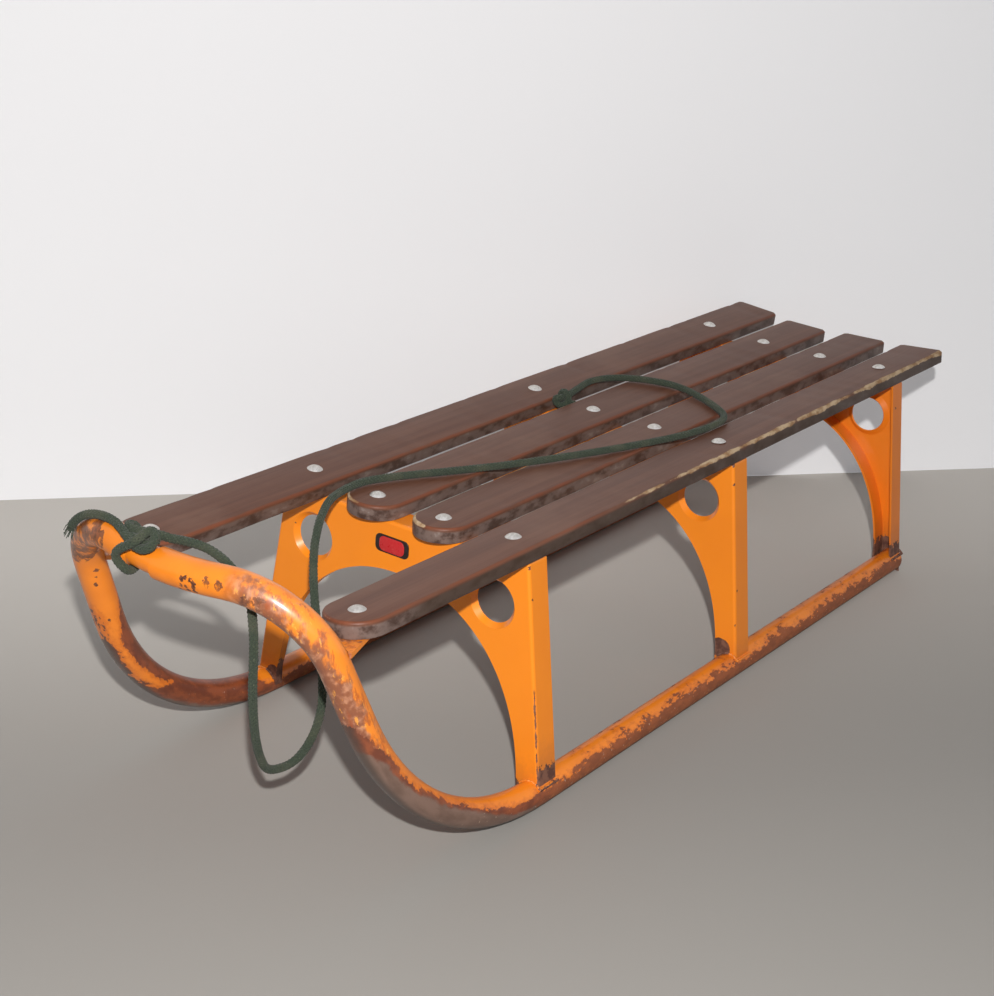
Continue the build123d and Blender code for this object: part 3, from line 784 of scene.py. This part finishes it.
def slat_varnish(number, near_red, near_pale, far_pale, side_dark):
    """Varnish for one slat, in the slat's own coordinates. The widths in millimetres say how far
    its near upper edge is worn to red and to pale wood, and its far upper edge to pale wood."""
    y = slat_lines[number]
    slat_rear, slat_nose = slat_ends(number)
    material, tree, surface, place = new_finish(f"slat_varnish_{number}")
    matrix = slat_place(y)
    local = node(tree, "Mapping", {"vector_type": "TEXTURE"}, Vector=place, Location=matrix.translation,
                 Rotation=matrix.to_euler()).outputs[0]
    split = node(tree, "SeparateXYZ", Vector=local).outputs
    half = slat_width / 2
    past_nose = sum_up(tree, "MAXIMUM", sum_up(tree, "SUBTRACT", split[0], slat_nose - half), 0.0)
    reach = sum_up(tree, "SQRT", sum_up(tree, "ADD", sum_up(tree, "MULTIPLY", past_nose, past_nose),
                                        sum_up(tree, "MULTIPLY", split[1], split[1])))
    from_side = sum_up(tree, "MAXIMUM", sum_up(tree, "SUBTRACT", half, reach), 0.0)
    from_rear = sum_up(tree, "MAXIMUM", sum_up(tree, "SUBTRACT", split[0], slat_rear), 0.0)
    from_rim = sum_up(tree, "MINIMUM", from_side, from_rear)
    below_top = sum_up(tree, "MAXIMUM", sum_up(tree, "SUBTRACT", slat_thickness, split[2]), 0.0)
    from_edge = sum_up(tree, "ADD", from_rim, below_top)
    shifted = node(tree, "VectorMath", {"operation": "ADD"}, n0=local, n1=(number * 0.37, 0, 0)).outputs[0]
    patches = mottle(tree, shifted, 55 * mm, 4, 0.6, (0.6, 1, 1))
    ragged = mottle(tree, shifted, 9 * mm, 5, 0.65, (0.45, 1, 1))
    grain = mottle(tree, shifted, 1.4 * mm, 4, 0.6, (0.018, 1, 1))
    streak = mottle(tree, shifted, 8 * mm, 4, 0.6, (0.03, 1, 1))
    base = blend(tree, spread(tree, streak, 0.30, 0.70), (0.108, 0.041, 0.023), (0.152, 0.063, 0.037))
    base = blend(tree, spread(tree, grain, 0.45, 0.75, 0, 0.35), base, (0.066, 0.025, 0.015))
    base = blend(tree, spread(tree, patches, 0.48, 0.72, 0, 0.40), base, (0.205, 0.110, 0.077))
    # The sides are greyer, scuffed and spotted
    side_share = sum_up(tree, "MULTIPLY", spread(tree, below_top, 2.2 * mm, 4.5 * mm),
                        spread(tree, from_rim, 3 * mm, 1.5 * mm))
    scuffs = mottle(tree, shifted, 11 * mm, 5, 0.62, (0.55, 1, 1))
    sides = blend(tree, spread(tree, scuffs, 0.36, 0.56), (0.062, 0.034, 0.026), (0.165, 0.115, 0.100))
    sides = blend(tree, spread(tree, scuffs, 0.58, 0.70), sides, (0.24, 0.19, 0.17))
    dark_share = spread(tree, split[0], slat_nose - 1.2 * half, slat_nose - 3.2 * half, 0, side_dark)
    sides = blend(tree, dark_share, sides, (0.050, 0.030, 0.020))
    base = blend(tree, side_share, base, sides)
    # Edges worn first to red undercoat, then to pale wood
    near_side = spread(tree, split[1], -0.002, 0.002)
    nose_share = spread(tree, split[0], slat_nose - 1.3 * half, slat_nose - 0.7 * half)
    uneven = sum_up(tree, "MULTIPLY_ADD", ragged, 1.1, sum_up(tree, "MULTIPLY_ADD", patches, 0.5, 0.2))
    red_width = sum_up(tree, "MULTIPLY", near_side, near_red * mm)
    red_width = sum_up(tree, "MAXIMUM", red_width, sum_up(tree, "MULTIPLY", nose_share, 1.4 * mm))
    red = sum_up(tree, "SUBTRACT", sum_up(tree, "MULTIPLY", uneven, red_width), from_edge)
    red = spread(tree, red, -1.3 * mm, 0.3 * mm, 0, 0.6)
    rearward = spread(tree, split[0], 0.19, -0.02, 0.15 if number == 4 else 1.0, 1.0)
    pale_width = sum_up(tree, "MULTIPLY", near_side, sum_up(tree, "MULTIPLY", rearward, near_pale * mm))
    far_side = sum_up(tree, "SUBTRACT", 1.0, near_side)
    pale_width = sum_up(tree, "ADD", pale_width, sum_up(tree, "MULTIPLY", far_side, far_pale * mm))
    pale = sum_up(tree, "SUBTRACT", sum_up(tree, "MULTIPLY", uneven, pale_width),
                  sum_up(tree, "ADD", from_side, below_top))
    pale = spread(tree, pale, -0.4 * mm, 0.3 * mm)
    colour = blend(tree, red, base, (0.205, 0.052, 0.020))
    worn_wood = blend(tree, spread(tree, scuffs, 0.40, 0.62), (0.30, 0.17, 0.085), (0.56, 0.42, 0.27))
    colour = blend(tree, pale, colour, worn_wood)
    gloss = sum_up(tree, "ADD", spread(tree, pale, 0, 1, 0.40, 0.70),
                   sum_up(tree, "MULTIPLY", patches, 0.12))
    join(tree, surface, Base_Color=colour, Roughness=gloss)
    surface.inputs["Specular IOR Level"].default_value = 0.26
    height = sum_up(tree, "SUBTRACT", sum_up(tree, "MULTIPLY", grain, 0.4),
                    sum_up(tree, "MULTIPLY", pale, 0.8))
    relief(tree, surface, height, 0.20 * mm)
    return material


# Red and pale width of the near edge, pale width of the far edge, and how dark the sides are
slat_wear = {
    1: (1.5, 0.6, 1.6, 0.3),
    2: (1.5, 0.8, 1.9, 0.15),
    3: (1.5, 0.8, 2.3, 0.15),
    4: (1.2, 5.2, 1.3, 0.8),
}
for number in slat_lines:
    board = slat_board(number)
    board.data.materials.append(slat_varnish(number, *slat_wear[number]))
    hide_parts(f"slat_{number}")


# The rivets are aluminium, with low domed heads on the wood and closed tails under the steel. They
# hold each slat to each bunk, and the outer slats' noses to the lugs.
def rivet_metal():
    material, tree, surface, place = new_finish("rivet_metal")
    tarnish = mottle(tree, place, 3 * mm, 5, 0.7)
    colour = blend(tree, spread(tree, tarnish, 0.35, 0.7), (0.56, 0.53, 0.49), (0.80, 0.77, 0.73))
    join(tree, surface, Base_Color=colour, Roughness=spread(tree, tarnish, 0.3, 0.7, 0.5, 0.3))
    surface.inputs["Metallic"].default_value = 1.0
    relief(tree, surface, tarnish, 0.12 * mm)
    return material


rivet_finish = rivet_metal()
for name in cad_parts:
    if name.startswith("rivet_"):
        dress(name, rivet_finish)

# The badge is a small stamped plate with clipped corners, black with a plain red field, held on
# the front bunk's web.
badge_low, badge_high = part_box("badge")


def enamel(name, colour_deep, colour_worn):
    material, tree, surface, place = new_finish(name)
    scuffs = mottle(tree, place, 2.5 * mm, 5, 0.7)
    join(tree, surface, Base_Color=blend(tree, spread(tree, scuffs, 0.55, 0.75), colour_deep, colour_worn),
         Roughness=spread(tree, scuffs, 0.3, 0.7, 0.25, 0.45))
    relief(tree, surface, scuffs, 0.05 * mm)
    return material


def badge_layer(name, narrower, lower, low, high, clip, rounding):
    """One layer of the badge between two distances from the web, narrower and lower than the plate
    by that much at each edge."""
    shape = bmesh.new()
    middle = (badge_low + badge_high) / 2
    wide = badge_high.y - badge_low.y - 2 * narrower
    tall = badge_high.z - badge_low.z - 2 * lower
    placed = Matrix.Translation((badge_low.x + (low + high) / 2, middle.y, middle.z))
    bmesh.ops.create_cube(shape, size=1, matrix=placed @ Matrix.Diagonal((high - low, wide, tall, 1)))
    upright = [e for e in shape.edges if abs(e.verts[0].co.x - e.verts[1].co.x) > 1e-5]
    bmesh.ops.bevel(shape, geom=upright, offset=clip, segments=5, profile=0.5, affect="EDGES",
                    material=-1)
    front = [e for e in shape.edges if min(v.co.x for v in e.verts) > badge_low.x + high - 1e-5]
    bmesh.ops.bevel(shape, geom=front, offset=rounding, segments=3, profile=0.5, affect="EDGES",
                    material=-1)
    mesh = bpy.data.meshes.new(name)
    shape.to_mesh(mesh)
    shape.free()
    mesh.shade_smooth()
    mesh.set_sharp_from_angle(angle=radians(35))
    piece = mesh_piece(name, mesh)
    return piece


badge_plate = badge_layer("badge_plate", narrower=0.0, lower=0.0, low=0.0, high=0.9 * mm,
                          clip=5.0 * mm, rounding=0.4 * mm)
badge_plate.data.materials.append(enamel("badge_black", (0.014, 0.008, 0.008), (0.05, 0.04, 0.035)))
badge_field = badge_layer("badge_field", narrower=4.5 * mm, lower=1.3 * mm, low=0.5 * mm, high=1.2 * mm,
                          clip=5.0 * mm, rounding=0.25 * mm)
badge_field.data.materials.append(enamel("badge_red", (0.50, 0.020, 0.024), (0.56, 0.12, 0.10)))
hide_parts("badge")

# A floor that ends at a plain pale wall just behind the sledge, and one lamp close above the
# camera, which throws the shadows back and a little down. The floor is painted paler towards the
# wall, as painted light that makes up for the lamp's fall-off with distance.
floor_edge = (Vector((0.1262, -0.6841, 0)), Vector((-0.7825, 0.6226, 0)))
floor_inward = Vector((0.6226, 0.7825, 0))
wall_height, wall_reach = 1.6, 3
floor_depth, floor_reach = 9, 7


def stage_sheet(name, corners, finish):
    mesh = bpy.data.meshes.new(name)
    mesh.from_pydata(corners, [], [(0, 1, 2, 3)])
    mesh.materials.append(finish)
    sheet = bpy.data.objects.new(name, mesh)
    bpy.context.scene.collection.objects.link(sheet)


wall_finish, tree, surface, _ = new_finish("wall")
surface.inputs["Base Color"].default_value = (0.80, 0.805, 0.83, 1)
surface.inputs["Roughness"].default_value = 0.9
seen = node(tree, "LightPath").outputs
seen = sum_up(tree, "MAXIMUM", seen["Is Camera Ray"], seen["Is Glossy Ray"])
join(tree, surface, Emission_Strength=sum_up(tree, "MULTIPLY", seen, 0.14))
surface.inputs["Emission Color"].default_value = (0.95, 0.96, 1.0, 1)
# From behind, the wall is clear, so that it hides nothing in views from that side
behind = node(tree, "NewGeometry").outputs["Backfacing"]
clear = node(tree, "BsdfTransparent").outputs[0]
one_sided = node(tree, "MixShader", n0=behind, n1=surface.outputs[0], n2=clear).outputs[0]
wall_out = next(n for n in tree.nodes if n.type == "OUTPUT_MATERIAL")
tree.links.new(one_sided, wall_out.inputs["Surface"])
stage_sheet("wall", [floor_edge[0] + floor_edge[1] * run + Vector((0, 0, high))
                     for run, high in ((-wall_reach, 0), (wall_reach, 0), (wall_reach, wall_height),
                                       (-wall_reach, wall_height))], wall_finish)

floor_finish, tree, surface, place = new_finish("floor")
across = node(tree, "VectorMath", {"operation": "DOT_PRODUCT"}, n0=place, n1=floor_inward).outputs["Value"]
from_wall = sum_up(tree, "SUBTRACT", across, floor_inward.dot(floor_edge[0]))
# Painted light: the floor pales towards the wall, making up for the lamp's fall-off with distance
painted_light_to_wall = spread(tree, from_wall, 0.75, 0.05)
join(tree, surface, Base_Color=blend(tree, painted_light_to_wall, (0.315, 0.302, 0.285), (0.66, 0.63, 0.59)))
surface.inputs["Roughness"].default_value = 0.9
stage_sheet("floor", [floor_edge[0] + floor_edge[1] * run + floor_inward * deep - Vector((0, 0, 0.2 * mm))
                      for run, deep in ((-floor_reach, 0), (-floor_reach, floor_depth),
                                        (floor_reach, floor_depth), (floor_reach, 0))], floor_finish)

world = bpy.data.worlds.new("world")
bpy.context.scene.world = world
world.use_nodes = True
sky = next(n for n in world.node_tree.nodes if n.type == "BACKGROUND")
sky.inputs["Color"].default_value = (0.97, 0.985, 1.0, 1)
sky.inputs["Strength"].default_value = 0.19
backdrop = node(world.node_tree, "Background", Color=(0.80, 0.807, 0.847, 1), Strength=1.0)
seen = node(world.node_tree, "LightPath").outputs
seen = sum_up(world.node_tree, "MAXIMUM", seen["Is Camera Ray"], seen["Is Glossy Ray"])
mixed = node(world.node_tree, "MixShader", n0=seen, n1=sky.outputs[0], n2=backdrop.outputs[0])
world_out = next(n for n in world.node_tree.nodes if n.type == "OUTPUT_WORLD")
world.node_tree.links.new(mixed.outputs[0], world_out.inputs["Surface"])

lamp = bpy.data.lights.new("key_light", "AREA")
lamp.shape = "DISK"
lamp.size = 0.035
lamp.energy = 35
lamp.color = (1.0, 0.975, 0.94)
stand = bpy.data.objects.new("key_light", lamp)
lamp_place, lamp_aim = Vector((1.462, 0.952, 1.020)), Vector((0, 0, 0.12))
stand.matrix_world = (Matrix.Translation(lamp_place)
                      @ (lamp_place - lamp_aim).to_track_quat("Z", "Y").to_matrix().to_4x4())
bpy.context.scene.collection.objects.link(stand)
bpy.context.scene.view_settings.view_transform = "Standard"
